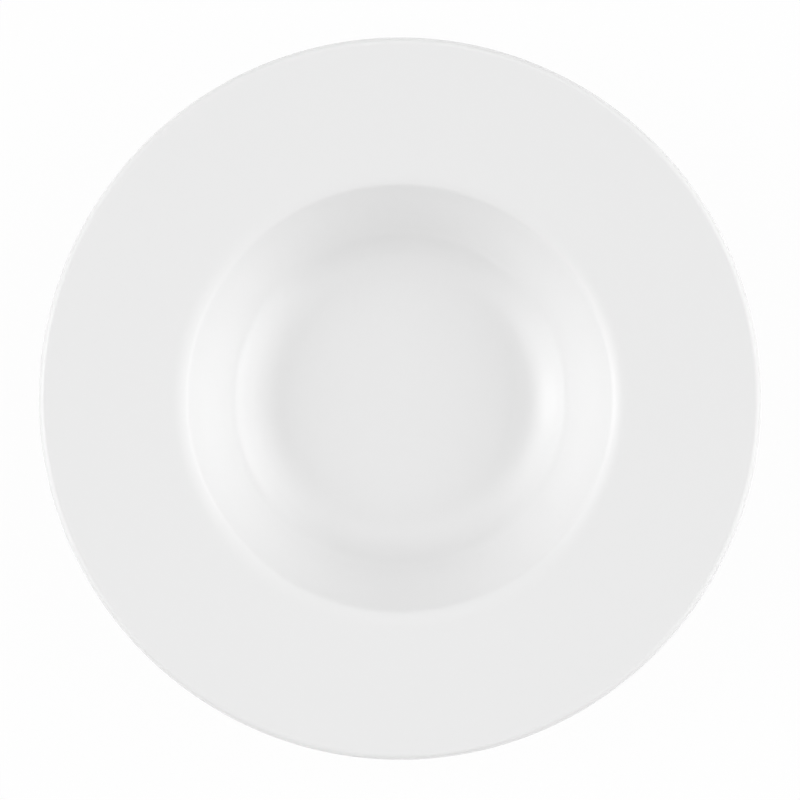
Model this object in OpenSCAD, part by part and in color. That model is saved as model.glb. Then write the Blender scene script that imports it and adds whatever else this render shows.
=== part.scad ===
// Rimmed soup plate in glazed hard porcelain, turned about the Z axis and standing on Z = 0.
// Its section is a chain of bends. Each bend is tangent to the straight stretches beside it.
// Sizes are millimetres on the finished, glazed plate unless a comment says otherwise.

/* [Plate] */
// Overall diameter across the lip
plate_d = 300; // [270:1:330]
// Diameter of the well, where the lines of its wall and of the rim meet
well_d = 179.5; // [165:0.5:190]
// Depth of the well, from that meeting line down to the floor
well_depth = 32; // [28:0.5:40]
// Slope of the well's wall, in degrees from level
wall_slope = 50; // [46:1:60]
// Radius of the bend between the wall and the flat floor, seen in section
floor_bend_r = 31.5; // [24:0.5:40]
// Slope of the rim, in degrees from level
rim_slope = 6; // [2:0.5:10]
// Radius of the tight bend at the shoulder, where the wall turns over
shoulder_r = 5; // [2:0.5:8]
// Slope at which the shoulder's tight bend hands over to its wide one, in degrees from level
shoulder_slope = 23; // [14:1:30]
// Radius of the wide bend that eases the shoulder into the rim
rim_bend_r = 19; // [12:1:40]

/* [Thickness] */
// Radius of the lip's upper round
lip_top_r = 2.8; // [2:0.1:3.4]
// Radius of the lip's lower round
lip_under_r = 1.2; // [0.8:0.1:1.8]
// Thickness of the rim where it reaches the shoulder
rim_root_t = 5.2; // [4:0.1:7]
// Thickness of the well's wall
wall_t = 5.2; // [4:0.1:7]
// Thickness of the floor
base_t = 5.5; // [4:0.1:7]
// Radius of the hollow bend under the shoulder
under_shoulder_r = 14; // [8:0.5:20]
// Thickness of the fired glaze
glaze_t = 0.25; // [0.15:0.01:0.4]

/* [Foot ring] */
// How far the bare standing face reaches out past the flat floor, to its sharp corner
foot_reach = 7; // [5:0.5:10]
// Width of the bare standing face, measured to its sharp corners
foot_w = 4.2; // [3:0.1:6]
// Height of the glazed recess inside the foot ring
foot_h = 3.2; // [2.6:0.1:4]
// Draft on both sides of the foot ring, in degrees from upright
foot_draft = 14; // [6:1:20]
// Radius on both corners of the bare standing face
foot_corner_r = 0.8; // [0.4:0.1:1.2]
// Radius of the hollow bends at the root of the foot ring
foot_root_r = 1.8; // [1.2:0.1:2.4]
// Height up to which the glaze is wiped off the foot ring
wipe_h = 1; // [0.8:0.05:1.3]

/* [Hidden] */

// How far a facet of a bend may lie from the true round
facet_gap = 0.01;
$fn = 240;

up = 90;
down = -90;
wall_top = up + wall_slope;
wall_under = down + wall_slope;
rim_top = up + rim_slope;
shoulder_top = up + shoulder_slope;

floor_z = foot_h + base_t;
shoulder_corner = [well_d / 2, floor_z + well_depth];
floor_corner = [well_d / 2 - well_depth / tan(wall_slope), floor_z];
floor_r = floor_corner.x - floor_bend_r * tan(wall_slope / 2);
floor_centre = [floor_r, floor_z + floor_bend_r];

// The shoulder's wide bend touches the rim, and its tight bend touches the wall.
rim_bend_rise = rim_bend_r - (rim_bend_r - shoulder_r) * cos(shoulder_slope - rim_slope);
shoulder_centre = meeting(
    shoulder_corner - shoulder_r * unit(wall_top), wall_slope,
    shoulder_corner - rim_bend_rise * unit(rim_top), rim_slope
);
rim_bend_centre = shoulder_centre - (rim_bend_r - shoulder_r) * unit(shoulder_top);

// The lip's two rounds meet at its outermost point.
lip_x = plate_d / 2 - lip_top_r;
rim_run = lip_x - shoulder_corner.x;
lip_z = shoulder_corner.y + rim_run * tan(rim_slope) - lip_top_r / cos(rim_slope);
lip_under_centre = [plate_d / 2 - lip_under_r, lip_z];
rim_under = down + rim_slope + atan2(rim_root_t - lip_top_r - lip_under_r, rim_run);
under_corner = meeting(
    lip_under_centre + lip_under_r * unit(rim_under), rim_under + up,
    shoulder_corner - wall_t * unit(wall_top), wall_slope
);

// The foot's two sides lean apart as they rise. A side is a point at its foot and an outward normal.
outer_side = -foot_draft;
inner_side = 2 * down + foot_draft;
outer_sole = [floor_r + foot_reach, 0];
inner_sole = outer_sole - [foot_w, 0];
outer_root = outer_sole + glaze_t * unit(outer_side);
inner_root = inner_sole + glaze_t * unit(inner_side);
inner_root_corner = meeting(inner_root, inner_side + down, [0, foot_h], 0);

// Centre of the hollow bend that touches both the foot's outer side and the round underside
under_bend_r = floor_bend_r + wall_t;
root_start = outer_root + foot_root_r * unit(outer_side) - floor_centre;
root_rise = unit(outer_side + up);
root_reach = root_start * root_rise;
root_travel = -root_reach
    - sqrt(root_reach ^ 2 - root_start * root_start + (under_bend_r + foot_root_r) ^ 2);
root_offset = root_start + root_travel * root_rise;
under_end = atan2(root_offset.y, root_offset.x);

// A bend is [centre, radius, first normal, last normal]. A hollow bend has a negative radius.
floor_bend = [floor_centre, -floor_bend_r, up, wall_top];
shoulder_bend = [shoulder_centre, shoulder_r, wall_top, shoulder_top];
rim_bend = [rim_bend_centre, rim_bend_r, shoulder_top, rim_top];
lip_top_bend = [[lip_x, lip_z], lip_top_r, rim_top, 0];
lip_under_bend = [lip_under_centre, lip_under_r, 0, rim_under];
under_shoulder_bend = corner_bend(under_corner, -under_shoulder_r, rim_under, wall_under);
under_bend = [floor_centre, under_bend_r, wall_under, under_end];
outer_root_bend = [floor_centre + root_offset, -foot_root_r, under_end, outer_side];
inner_root_bend = corner_bend(inner_root_corner, -foot_root_r, inner_side, down);

// The sole is bare, so the glaze is added to its radii here and comes off again in the body.
outer_sole_bend = glazed(corner_bend(outer_sole, foot_corner_r, outer_side, down));
inner_sole_bend = glazed(corner_bend(inner_sole, foot_corner_r, down, inner_side));

outer_bends = [
    floor_bend, shoulder_bend, rim_bend, lip_top_bend, lip_under_bend,
    under_shoulder_bend, under_bend, outer_root_bend
];
sole_bends = [outer_sole_bend, inner_sole_bend];
base_bends = [inner_root_bend];

function unit(angle) = [cos(angle), sin(angle)];

// Where two lines cross, each given by a point and a direction in degrees
function meeting(a, a_dir, b, b_dir) =
    a + unit(a_dir) * cross(b - a, unit(b_dir)) / cross(unit(a_dir), unit(b_dir));

// The bend that rounds off a corner between two lines with these outward normals
function corner_bend(corner, radius, first, last) =
    [corner - radius * (unit(first) + unit(last)) / (1 + cos(last - first)), radius, first, last];

function glazed(bend) = [bend[0], bend[1] + glaze_t, bend[2], bend[3]];

// Points along one bend, on the surface that lies this deep below the finished one
function bend_points(bend, depth) =
    let (turn = bend[3] - bend[2], facet = 2 * acos(1 - facet_gap / abs(bend[1])))
    let (steps = ceil(abs(turn) / facet))
    [for (i = [0:steps]) bend[0] + (bend[1] - depth) * unit(bend[2] + turn * i / steps)];

// Two bends that touch share a point, which is kept once.
function distinct(points) =
    [for (i = [0:len(points) - 1])
        if (i == 0 || norm(points[i] - points[max(i - 1, 0)]) > facet_gap) points[i]];

function outline(bends, depth) = distinct([for (bend = bends) each bend_points(bend, depth)]);

function reversed(points) = [for (i = [len(points) - 1:-1:0]) points[i]];

// Where the glaze ends on one side of the foot ring, at this depth below its surface
function glaze_end(root, side, rise, depth) =
    root - depth * unit(side) + (wipe_h - root.y) / sin(rise) * unit(rise);

function outer_end(depth) = glaze_end(outer_root, outer_side, outer_side + up, depth);
function inner_end(depth) = glaze_end(inner_root, inner_side, inner_side + down, depth);

// The fired clay, in one piece from the lip to the foot ring. Only its sole is bare.
module porcelain_body() {
    color("linen")
        rotate_extrude()
            polygon([
                [0, floor_z - glaze_t],
                each outline(outer_bends, glaze_t),
                outer_end(glaze_t),
                each outline(sole_bends, glaze_t),
                inner_end(glaze_t),
                each outline(base_bends, glaze_t),
                [0, foot_h + glaze_t]
            ]);
}

// The glaze over the whole top, round the lip and down the underside to the wiped foot ring
module outer_glaze() {
    color("white")
        rotate_extrude()
            polygon([
                [0, floor_z],
                each outline(outer_bends, 0),
                outer_end(0),
                outer_end(glaze_t),
                each reversed(outline(outer_bends, glaze_t)),
                [0, floor_z - glaze_t]
            ]);
}

// The glaze of the recess inside the foot ring, which the bare sole parts from the rest
module base_glaze() {
    color("white")
        rotate_extrude()
            polygon([
                inner_end(0),
                each outline(base_bends, 0),
                [0, foot_h],
                [0, foot_h + glaze_t],
                each reversed(outline(base_bends, glaze_t)),
                inner_end(glaze_t)
            ]);
}

porcelain_body();
outer_glaze();
base_glaze();
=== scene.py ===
from math import atan2, ceil, cos, degrees, pi, radians, sin, sqrt, tan

import bpy
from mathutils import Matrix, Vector


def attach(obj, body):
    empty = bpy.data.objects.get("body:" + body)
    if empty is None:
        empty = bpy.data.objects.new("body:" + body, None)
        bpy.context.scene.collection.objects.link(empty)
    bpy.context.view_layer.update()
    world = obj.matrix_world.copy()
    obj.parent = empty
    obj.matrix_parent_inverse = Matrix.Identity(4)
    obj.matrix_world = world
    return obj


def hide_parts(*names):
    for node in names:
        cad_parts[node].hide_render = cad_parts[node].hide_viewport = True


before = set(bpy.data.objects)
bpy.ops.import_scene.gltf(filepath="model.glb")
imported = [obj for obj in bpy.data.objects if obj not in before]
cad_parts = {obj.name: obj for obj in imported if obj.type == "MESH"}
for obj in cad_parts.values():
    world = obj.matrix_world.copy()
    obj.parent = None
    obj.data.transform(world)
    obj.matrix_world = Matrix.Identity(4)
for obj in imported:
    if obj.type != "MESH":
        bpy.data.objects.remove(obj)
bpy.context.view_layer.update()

# The plate is one piece of hard porcelain, pressed on a turning mould and fired. It is turned about Z
# and stands on Z = 0. Lengths are metres on the finished plate, and angles are degrees from level.
# Its clay shows only at the foot ring's sole, wiped bare so that it doesn't stick in the kiln.
plate_d = 0.300
well_d = 0.1795
well_depth = 0.032
wall_slope = 50
floor_bend_r = 0.0315
rim_slope = 6
shoulder_r = 0.005
shoulder_slope = 23
rim_bend_r = 0.019

lip_top_r = 0.0028
lip_under_r = 0.0012
rim_root_t = 0.0052
wall_t = 0.0052
base_t = 0.0055
under_shoulder_r = 0.014
glaze_t = 0.00025

foot_reach = 0.007
foot_w = 0.0042
foot_h = 0.0032
foot_draft = 14
foot_corner_r = 0.0008
foot_root_r = 0.0018
wipe_h = 0.001

up = 90
down = -90
wall_top = up + wall_slope
wall_under = down + wall_slope
rim_top = up + rim_slope
shoulder_top = up + shoulder_slope


def unit(angle):
    return Vector((cos(radians(angle)), sin(radians(angle))))


def angle_of(vector):
    return degrees(atan2(vector.y, vector.x))


def meeting(a, a_direction, b, b_direction):
    """Where two lines cross, each given by a point and a direction."""
    along, across = unit(a_direction), unit(b_direction)
    return a + along * (b - a).cross(across) / along.cross(across)


def corner_bend(corner, radius, first, last):
    """The bend that rounds off a corner between two lines with these outward normals."""
    centre = corner - radius * (unit(first) + unit(last)) / (1 + cos(radians(last - first)))
    return centre, radius, first, last


floor_z = foot_h + base_t
shoulder_corner = Vector((well_d / 2, floor_z + well_depth))
floor_corner_x = well_d / 2 - well_depth / tan(radians(wall_slope))
floor_r = floor_corner_x - floor_bend_r * tan(radians(wall_slope / 2))
floor_centre = Vector((floor_r, floor_z + floor_bend_r))

rim_bend_rise = rim_bend_r - (rim_bend_r - shoulder_r) * cos(radians(shoulder_slope - rim_slope))
shoulder_centre = meeting(
    shoulder_corner - shoulder_r * unit(wall_top), wall_slope,
    shoulder_corner - rim_bend_rise * unit(rim_top), rim_slope,
)
rim_bend_centre = shoulder_centre - (rim_bend_r - shoulder_r) * unit(shoulder_top)

rim_run = plate_d / 2 - lip_top_r - shoulder_corner.x
lip_rise = rim_run * tan(radians(rim_slope)) - lip_top_r / cos(radians(rim_slope))
lip_centre = shoulder_corner + Vector((rim_run, lip_rise))
lip_under_centre = lip_centre + Vector((lip_top_r - lip_under_r, 0))
rim_under = down + rim_slope + angle_of(Vector((rim_run, rim_root_t - lip_top_r - lip_under_r)))
under_corner = meeting(
    lip_under_centre + lip_under_r * unit(rim_under), rim_under + up,
    shoulder_corner - wall_t * unit(wall_top), wall_slope,
)

outer_side = -foot_draft
inner_side = 2 * down + foot_draft
outer_sole = Vector((floor_r + foot_reach, 0))
inner_sole = outer_sole - Vector((foot_w, 0))
outer_root = outer_sole + glaze_t * unit(outer_side)
inner_root = inner_sole + glaze_t * unit(inner_side)
inner_root_corner = meeting(inner_root, inner_side + down, Vector((0, foot_h)), 0)

under_bend_r = floor_bend_r + wall_t
root_start = outer_root + foot_root_r * unit(outer_side) - floor_centre
root_reach = root_start.dot(unit(outer_side + up))
root_miss = root_start.length_squared - (under_bend_r + foot_root_r) ** 2
root_offset = root_start - unit(outer_side + up) * (root_reach + sqrt(root_reach ** 2 - root_miss))
under_end = angle_of(root_offset)

# A bend is its centre, radius, first normal and last normal. A hollow bend has a negative radius.
floor_bend = (floor_centre, -floor_bend_r, up, wall_top)
shoulder_bend = (shoulder_centre, shoulder_r, wall_top, shoulder_top)
rim_bend = (rim_bend_centre, rim_bend_r, shoulder_top, rim_top)
lip_top_bend = (lip_centre, lip_top_r, rim_top, 0)
lip_under_bend = (lip_under_centre, lip_under_r, 0, rim_under)
under_shoulder_bend = corner_bend(under_corner, -under_shoulder_r, rim_under, wall_under)
under_bend = (floor_centre, under_bend_r, wall_under, under_end)
outer_root_bend = (floor_centre + root_offset, -foot_root_r, under_end, outer_side)
inner_root_bend = corner_bend(inner_root_corner, -foot_root_r, inner_side, down)
outer_bends = [
    floor_bend, shoulder_bend, rim_bend, lip_top_bend, lip_under_bend,
    under_shoulder_bend, under_bend, outer_root_bend,
]

clay_step = 4
same_point = 0.000001
straight_ease = 0.0008
long_straight = 0.006


def bend_points(bend, depth, step):
    """Points along one bend, on the surface that lies this deep below the finished one."""
    centre, radius, first, last = bend
    steps = ceil(abs(last - first) / step)
    turns = [first + (last - first) * i / steps for i in range(steps + 1)]
    return [centre + (radius - depth) * unit(turn) for turn in turns]


def outline(bends, depth, step):
    return [point for bend in bends for point in bend_points(bend, depth, step)]


def eased(points):
    """Adds a point near both ends of each long straight stretch, so that its shading stays flat,
    and keeps a point that two bends share only once."""
    kept = [points[0]]
    for point in points[1:]:
        stretch = point - kept[-1]
        if stretch.length > long_straight:
            ease = stretch.normalized() * straight_ease
            kept += [kept[-1] + ease, point - ease]
        if stretch.length > same_point:
            kept.append(point)
    return kept


# In the fire the rim sags a little in two places, and the turning tool leaves faint rings in the wall.
rim_sag = 0.00018
sag_growth = 4
sag_turn = 0.7
ring_depth = 0.000012
ring_spacing = 0.0052
ringed_from = 0.052
ringed_to = 0.084


def fired(radius, angle):
    """How far the fire and the tool move the plate up at this place."""
    sag = rim_sag * (2 * radius / plate_d) ** sag_growth * cos(2 * angle + sag_turn)
    share = (radius - ringed_from) / (ringed_to - ringed_from)
    ring = sin(pi * share) ** 2 * sin(2 * pi * radius / ring_spacing) if 0 < share < 1 else 0
    return sag + ring_depth * ring


turn_steps = 256
sharp_edge = radians(40)


def turned(name, outline_at):
    """Turns an outline about Z. It starts and ends on the axis and may change with the angle."""
    angles = [2 * pi * i / turn_steps for i in range(turn_steps)]
    sections = [outline_at(angle) for angle in angles]
    rings = len(sections[0]) - 2
    verts = [(0, 0, sections[0][0].y), (0, 0, sections[0][-1].y)]
    for angle, section in zip(angles, sections):
        for x, z in section[1:-1]:
            verts.append((x * cos(angle), x * sin(angle), z + fired(x, angle)))
    faces = []
    for i in range(turn_steps):
        here, beyond = 2 + i * rings, 2 + (i + 1) % turn_steps * rings
        faces.append((0, here, beyond))
        faces += [(here + k, here + k + 1, beyond + k + 1, beyond + k) for k in range(rings - 1)]
        faces.append((1, beyond + rings - 1, here + rings - 1))
    mesh = bpy.data.meshes.new(name)
    mesh.from_pydata(verts, [], faces)
    mesh.shade_smooth()
    mesh.set_sharp_from_angle(angle=sharp_edge)
    piece = bpy.data.objects.new(name, mesh)
    bpy.context.scene.collection.objects.link(piece)
    return piece


# The sponge is held by hand, so the wiped edge wavers. A wave is a share of its height, a count and a turn.
wipe_waves = [(0.10, 3, 0), (0.06, 7, 1.1), (0.04, 16, 2.3)]


def wiped_height(angle):
    """Height of the glaze's edge on the foot ring, at this place round it."""
    wander = sum(share * sin(count * angle + turn) for share, count, turn in wipe_waves)
    return wipe_h * (1 + wander)


def glaze_end(root, side, rise, depth, height):
    """Where the glaze ends on one side of the foot ring, at this depth below its surface."""
    along = unit(rise)
    return root - depth * unit(side) + (height - root.y) / along.y * along


class Wire:
    """A value in a material's nodes. Arithmetic on it adds Math nodes."""

    def __init__(self, socket):
        self.socket = socket

    @staticmethod
    def node(tree, kind, settings=None, values=None, output=0):
        """Adds a node, sets its kind of work and then its sockets, and gives one output."""
        made = tree.nodes.new(kind)
        for name, value in (settings or {}).items():
            setattr(made, name, value)
        for name, value in (values or {}).items():
            if isinstance(value, Wire):
                tree.links.new(value.socket, made.inputs[name])
            else:
                made.inputs[name].default_value = value
        return Wire(made.outputs[output])

    def math(self, operation, *others):
        tree, values = self.socket.id_data, dict(enumerate([self, *others]))
        return Wire.node(tree, "ShaderNodeMath", {"operation": operation}, values)

    def __add__(self, other):
        return self.math("ADD", other)

    def __sub__(self, other):
        return self.math("SUBTRACT", other)

    def __mul__(self, other):
        return self.math("MULTIPLY", other)

    def __rsub__(self, other):
        return self * -1 + other

    __radd__ = __add__
    __rmul__ = __mul__


def finish(name, base, roughness):
    """A material with one constant colour and roughness, and its shader to be linked to."""
    material = bpy.data.materials.new(name)
    material.use_nodes = True
    shader = material.node_tree.nodes["Principled BSDF"]
    shader.inputs["Base Color"].default_value = (*base, 1)
    shader.inputs["Roughness"].default_value = roughness
    return material, shader


def place_in(tree):
    """The place on the plate, and its distance from the axis."""
    place = Wire.node(tree, "ShaderNodeTexCoord", output="Object")
    flat = Wire.node(tree, "ShaderNodeVectorMath", {"operation": "MULTIPLY"}, {0: place, 1: (1, 1, 0)})
    radius = Wire.node(tree, "ShaderNodeVectorMath", {"operation": "LENGTH"}, {0: flat}, "Value")
    return place, radius


def grain(tree, place, size, detail=2.0):
    """Noise from 0 to 1 whose lumps are about this size."""
    values = {"Vector": place, "Scale": 1 / size, "Detail": detail}
    return Wire.node(tree, "ShaderNodeTexNoise", None, values)


def fade(tree, value, low, high):
    """0 below low, 1 above high, and soft between."""
    values = {"Value": value, "From Min": low, "From Max": high}
    return Wire.node(tree, "ShaderNodeMapRange", {"interpolation_type": "SMOOTHSTEP"}, values)


def blend(tree, share, colour, other):
    """One colour turning into another as the share goes from 0 to 1. Mix takes its colours at 6 and 7."""
    values = {0: share, 6: colour, 7: other}
    return Wire.node(tree, "ShaderNodeMix", {"data_type": "RGBA"}, values, 2)


def raised(tree, height):
    """Relief of this height in metres."""
    return Wire.node(tree, "ShaderNodeBump", None, {"Height": height, "Distance": 1, "Strength": 1})


def body_outline(angle):
    sole_bends = [
        corner_bend(outer_sole, foot_corner_r, outer_side, down),
        corner_bend(inner_sole, foot_corner_r, down, inner_side),
    ]
    bare_height = wiped_height(angle)
    return eased([
        Vector((0, floor_z - glaze_t)),
        *outline(outer_bends, glaze_t, clay_step),
        glaze_end(outer_root, outer_side, outer_side + up, glaze_t, bare_height),
        *outline(sole_bends, 0, 2 * clay_step),
        glaze_end(inner_root, inner_side, inner_side + down, glaze_t, bare_height),
        *outline([inner_root_bend], glaze_t, clay_step),
        Vector((0, foot_h + glaze_t)),
    ])


clay_colour = (0.78, 0.76, 0.72, 1)
clay_stain_and_pore_shade = (0.66, 0.63, 0.58, 1)
clay_roughness = 0.755
clay_roughness_change = 0.15
clay_lump = 0.00035
clay_cloud = 0.012
grind_spacing = 0.00045
grind_depth = 0.000012
pore_size = 0.0006
pore_edge = (0.30, 0.22)
pore_strength = 0.5
cloud_share = 0.6
stain_edge = (0.40, 0.75)
stain_strength = 0.45

bare_porcelain, clay_shader = finish("bare_porcelain", clay_colour[:3], clay_roughness)
tree = bare_porcelain.node_tree
place, radius = place_in(tree)
lumps = grain(tree, place, clay_lump, detail=3)
clouds = grain(tree, place, clay_cloud)
pores = fade(tree, grain(tree, place, pore_size, detail=0), *pore_edge)
wander = grain(tree, place, clay_cloud) * (2 * grind_spacing)
grooves = ((radius + wander) * (2 * pi / grind_spacing)).math("SINE")
stain = fade(tree, clouds * cloud_share + lumps * (1 - cloud_share), *stain_edge)
# The stains are the clay's own uneven tone; the pores are painted darker, which is painted shade in the
# pits.
colour = blend(tree, stain * stain_strength + pores * pore_strength, clay_colour, clay_stain_and_pore_shade)
relief = grooves * (grind_depth / 2) + lumps * grind_depth - pores * (2 * grind_depth)
tree.links.new(colour.socket, clay_shader.inputs["Base Color"])
tree.links.new(raised(tree, relief).socket, clay_shader.inputs["Normal"])
rough = lumps * clay_roughness_change + (clay_roughness - clay_roughness_change / 2)
tree.links.new(rough.socket, clay_shader.inputs["Roughness"])

body = turned("porcelain_body_piece", body_outline)
body.data.materials.append(bare_porcelain)
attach(body, "root")
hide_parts("porcelain_body")

# The outer glaze is a glassy white coat, fused on in the kiln. It runs over the whole top, round the lip
# and down the underside to the foot ring. It draws thin over the lip and lies thicker in the bends. The lip
# is painted whiter as painted light, and the bends are whiter, partly for the pooled glaze and partly as
# painted light.
glaze_step = 1
lip_step = 6
root_step = 8
under_step = 2
edge_step = 30


def outer_outline(angle):
    """The finished surface from the middle of the floor to the foot, and back along the clay."""
    edge_height = wiped_height(angle)
    tip, heel = (
        glaze_end(outer_root, outer_side, outer_side + up, depth, edge_height)
        for depth in (0, glaze_t)
    )
    edge_centre = (tip + heel) / 2
    edge = (edge_centre, glaze_t / 2, outer_side, outer_side + 2 * down)
    return eased([
        Vector((0, floor_z)),
        *outline([floor_bend], 0, glaze_step),
        *outline([shoulder_bend], 0, 2 * glaze_step),
        *outline([rim_bend], 0, glaze_step),
        *outline([lip_top_bend, lip_under_bend], 0, lip_step),
        *outline([under_shoulder_bend, under_bend], 0, under_step),
        *outline([outer_root_bend], 0, root_step),
        *outline([edge], 0, edge_step),
        *reversed(outline(outer_bends, glaze_t, clay_step)),
        Vector((0, floor_z - glaze_t)),
    ])


glaze_colour = (0.886, 0.886, 0.886, 1)
# Painted light: the lip is painted a little whiter than the glaze.
thin_lip_painted_light_colour = (0.894, 0.893, 0.892, 1)
# Partly the thick glaze's own colour, partly painted light that whitens the well's bend and wall.
pooled_glaze_and_painted_light_colour = (0.889, 0.889, 0.889, 1)
glaze_roughness = 0.035
gloss_change = 0.02
glaze_ior = 1.5
pool_and_painted_light_strength = 0.6
thin_lip_painted_light_strength = 0.7
cloud_size = 0.045
cloud_strength = 0.3
peel_size = 0.0045
peel_depth = 0.0000030
ripple_size = 0.016
ripple_depth = 0.000010


def glaze_material(name, thin_lip_painted_light_from, pooled_and_painted_light_radii):
    """White glaze, painted whiter beyond one radius as painted light, and whiter within a pair of radii,
    partly as pooled glaze and partly as painted light.
    """
    material, shader = finish(name, glaze_colour[:3], glaze_roughness)
    shader.inputs["IOR"].default_value = glaze_ior
    tree = material.node_tree
    place, radius = place_in(tree)
    # Painted light: the lip, top and under, is painted whiter from here outward.
    thin_lip_painted_light = fade(tree, radius, thin_lip_painted_light_from, thin_lip_painted_light_from + lip_top_r / 2)
    middle, reach = (pooled_and_painted_light_radii[0] + pooled_and_painted_light_radii[1]) / 2, (pooled_and_painted_light_radii[1] - pooled_and_painted_light_radii[0]) / 2
    # Pooled glaze and painted light: whitest in the middle of the well's bend and wall.
    pooled_and_painted_light = 1 - fade(tree, (radius - middle).math("ABSOLUTE"), 0, reach)
    cloud = grain(tree, place, cloud_size, detail=3)
    colour = blend(tree, pooled_and_painted_light * pool_and_painted_light_strength + cloud * cloud_strength, glaze_colour, pooled_glaze_and_painted_light_colour)
    colour = blend(tree, thin_lip_painted_light * thin_lip_painted_light_strength, colour, thin_lip_painted_light_colour)
    relief = grain(tree, place, peel_size) * peel_depth + grain(tree, place, ripple_size) * ripple_depth
    rough = cloud * gloss_change + (glaze_roughness - gloss_change / 2)
    tree.links.new(colour.socket, shader.inputs["Base Color"])
    tree.links.new(raised(tree, relief).socket, shader.inputs["Normal"])
    tree.links.new(rough.socket, shader.inputs["Roughness"])
    return material


outer_glaze = turned("outer_glaze_piece", outer_outline)
outer_glaze.data.materials.append(
    glaze_material("white_glaze", plate_d / 2 - lip_top_r, (floor_r, well_d / 2 - shoulder_r))
)
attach(outer_glaze, "root")
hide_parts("outer_glaze")

# The base glaze coats the shallow recess inside the foot ring. The bare sole parts it from the rest.
# It is the same glaze, pooled a little at the root of the ring.


def base_outline(angle):
    """The clay side of the recess's glaze, its edge on the foot, and its finished surface."""
    edge_height = wiped_height(angle)
    heel, tip = (
        glaze_end(inner_root, inner_side, inner_side + down, depth, edge_height)
        for depth in (glaze_t, 0)
    )
    edge_centre = (tip + heel) / 2
    edge = (edge_centre, glaze_t / 2, inner_side + 2 * up, inner_side)
    return eased([
        Vector((0, foot_h + glaze_t)),
        *reversed(outline([inner_root_bend], glaze_t, clay_step)),
        *outline([edge], 0, edge_step),
        *outline([inner_root_bend], 0, root_step),
        Vector((0, foot_h)),
    ])


base_glaze = turned("base_glaze_piece", base_outline)
base_glaze.data.materials.append(
    glaze_material("base_white_glaze", plate_d / 2, (inner_sole.x - 2 * foot_root_r, inner_sole.x))
)
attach(base_glaze, "root")
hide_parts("base_glaze")

# The plate stands on a wide white table, which shows white to the camera and in the glaze and keeps part
# of the plate's shadow. Close under the rim less of it shows white, so the floor there is darker even where
# lit: painted shade added to the real shadow. From below, and where the foot ring stands, the table is
# clear, so that the foot ring can be seen and lit.
table_r = 8.0
table_drop = 0.00005
table_steps = 64
table_colour = (0.86, 0.86, 0.86)
table_roughness = 0.9
table_white = 0.96
contact_shade = 0.35
contact_from = 0.145
contact_to = 0.080

table, table_shader = finish("white_table", table_colour, table_roughness)
table_shader.inputs["Specular IOR Level"].default_value = 0
tree = table.node_tree
camera_ray, glossy_ray, clear_ray = (
    Wire.node(tree, "ShaderNodeLightPath", output=f"Is {ray} Ray")
    for ray in ("Camera", "Glossy", "Transmission")
)
place, radius = place_in(tree)
# Painted shade: close under the rim less of the table shows white, so it is darker there even where lit.
contact = (1 - fade(tree, radius, contact_to, contact_from)) * contact_shade
seen = (camera_ray + glossy_ray + clear_ray) * (table_white - contact)
white = Wire.node(tree, "ShaderNodeEmission", None, {"Color": (1, 1, 1, 1), "Strength": 1})
clear = Wire.node(tree, "ShaderNodeBsdfTransparent")
below = Wire.node(tree, "ShaderNodeNewGeometry", output="Backfacing")
below = below.math("MAXIMUM", radius.math("LESS_THAN", outer_sole.x))
matt = Wire(table_shader.outputs[0])
top = Wire.node(tree, "ShaderNodeMixShader", None, {0: seen, 1: matt, 2: white})
both = Wire.node(tree, "ShaderNodeMixShader", None, {0: below, 1: top, 2: clear})
tree.links.new(both.socket, tree.nodes["Material Output"].inputs[0])

mesh = bpy.data.meshes.new("table")
turns = [2 * pi * i / table_steps for i in range(table_steps)]
verts = [(table_r * cos(turn), table_r * sin(turn), -table_drop) for turn in turns]
mesh.from_pydata(verts, [], [range(table_steps)])
mesh.materials.append(table)
table_top = bpy.data.objects.new("table", mesh)
bpy.context.scene.collection.objects.link(table_top)

# The studio has two wide soft lamps, left and right of the plate, and the left one is brighter round its
# core. A paler band lies above them all round and a faint one below it. The camera sees plain white, and
# a glow from below lights the foot ring through the clear table.

# Angles are degrees as seen from the plate. An edge is the pair of angles over which it fades.
right_level = 2.31
right_bottom, right_top, right_side = (3.8, 4.4), (27, 79), (16, 69)
left_level = 2.36
left_bottom, left_top, left_side = (3.6, 4.4), (45, 70), (0, 63)
halo_level = 0.35
halo_height, halo_reach = 36, (60, 12)
core_level = 1.05
core_height, core_reach = 36, (14, 17)
spot_edge = (0.3, 1.3)

band_level = 0.47
band_bottom, band_top = (9, 54), (60, 82)
low_level = 0.15
low_bottom, low_top = (8, 17), (21, 27)
back_gain = 0.21

# The haze near the horizon shows in the glaze alone.
haze_level = 0.50
haze_top = (5, 9)
glow_level = 0.80
glow_top = (-3, -1)


def between(tree, value, rise, fall):
    """1 between two edges, and fading to 0 over each."""
    return fade(tree, value, *rise) * (1 - fade(tree, value, *fall))


def spot(tree, aside, height, reach):
    """1 in the middle of an oval, and fading to 0 just beyond its reach."""
    across, up = aside * (1 / reach[0]), height * (1 / reach[1])
    return 1 - fade(tree, (across * across + up * up).math("SQRT"), *spot_edge)


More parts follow.
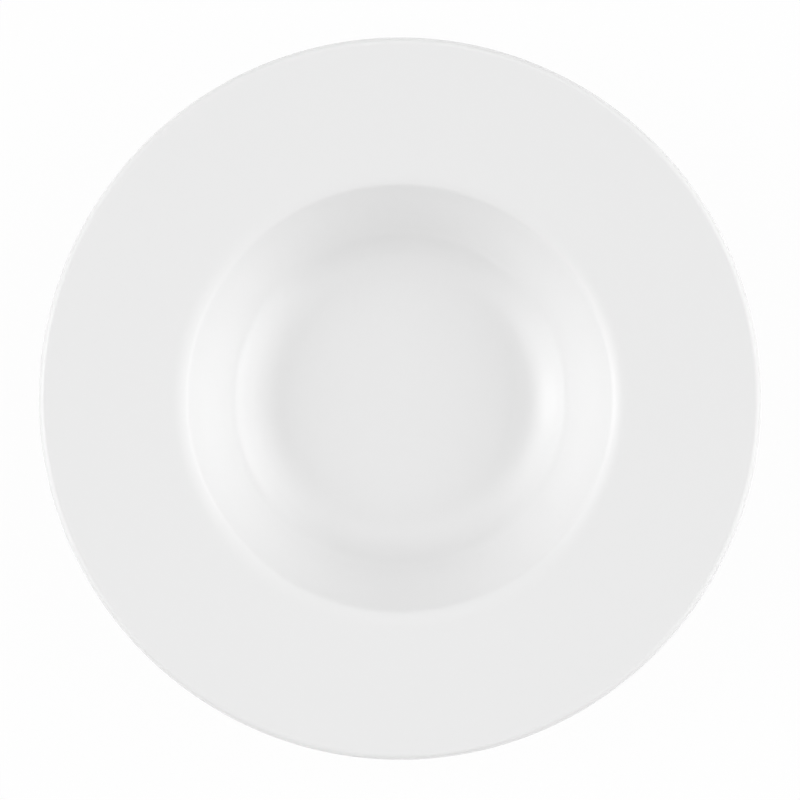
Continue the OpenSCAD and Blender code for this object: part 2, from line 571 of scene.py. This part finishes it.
world = bpy.data.worlds.new("studio")
world.use_nodes = True
bpy.context.scene.world = world
tree = world.node_tree
towards = Wire.node(tree, "ShaderNodeTexCoord", output="Generated")
x, y, z = (Wire.node(tree, "ShaderNodeSeparateXYZ", None, {0: towards}, axis) for axis in "XYZ")
elevation = z.math("ARCSINE").math("DEGREES")
azimuth = y.math("ARCTAN2", x)
off_right = azimuth.math("DEGREES").math("ABSOLUTE")
off_left = 180 - off_right
to_back = azimuth.math("SINE") * back_gain + 1
camera_ray, glossy_ray = (
    Wire.node(tree, "ShaderNodeLightPath", output=f"Is {ray} Ray") for ray in ("Camera", "Glossy")
)

right_lamp = between(tree, elevation, right_bottom, right_top) * (1 - fade(tree, off_right, *right_side))
left_lamp = between(tree, elevation, left_bottom, left_top) * (1 - fade(tree, off_left, *left_side))
light = (
    right_lamp * right_level
    + left_lamp * left_level
    + spot(tree, off_left, elevation - halo_height, halo_reach) * halo_level
    + spot(tree, off_left, elevation - core_height, core_reach) * core_level
    + between(tree, elevation, band_bottom, band_top) * to_back * band_level
    + between(tree, elevation, low_bottom, low_top) * to_back * low_level
    + (1 - fade(tree, elevation, *haze_top)) * glossy_ray * haze_level
    + (1 - fade(tree, elevation, *glow_top)) * glow_level
)
light = light * (1 - camera_ray) + camera_ray
tree.links.new(light.socket, tree.nodes["Background"].inputs["Strength"])
tree.nodes["Background"].inputs["Color"].default_value = (1, 1, 1, 1)

# The camera looks straight down from two metres, with the photograph's up along +Y. Its lens makes the
# plate's lip as wide as in the photograph, which is 800 pixels wide.
camera_height = 2.0
sensor_width = 36
frame_px = 800
plate_radius_px = 361.2
centre_drop_px = -1.4

lip_distance = camera_height - lip_centre.y
camera = bpy.data.cameras.new("camera")
camera.sensor_width = sensor_width
camera.lens = sensor_width * plate_radius_px / frame_px * lip_distance / (plate_d / 2)
camera.shift_y = centre_drop_px / frame_px
camera_holder = bpy.data.objects.new("camera", camera)
camera_holder.location = (0, 0, camera_height)
bpy.context.scene.collection.objects.link(camera_holder)
bpy.context.scene.camera = camera_holder
bpy.context.scene.view_settings.view_transform = "Standard"
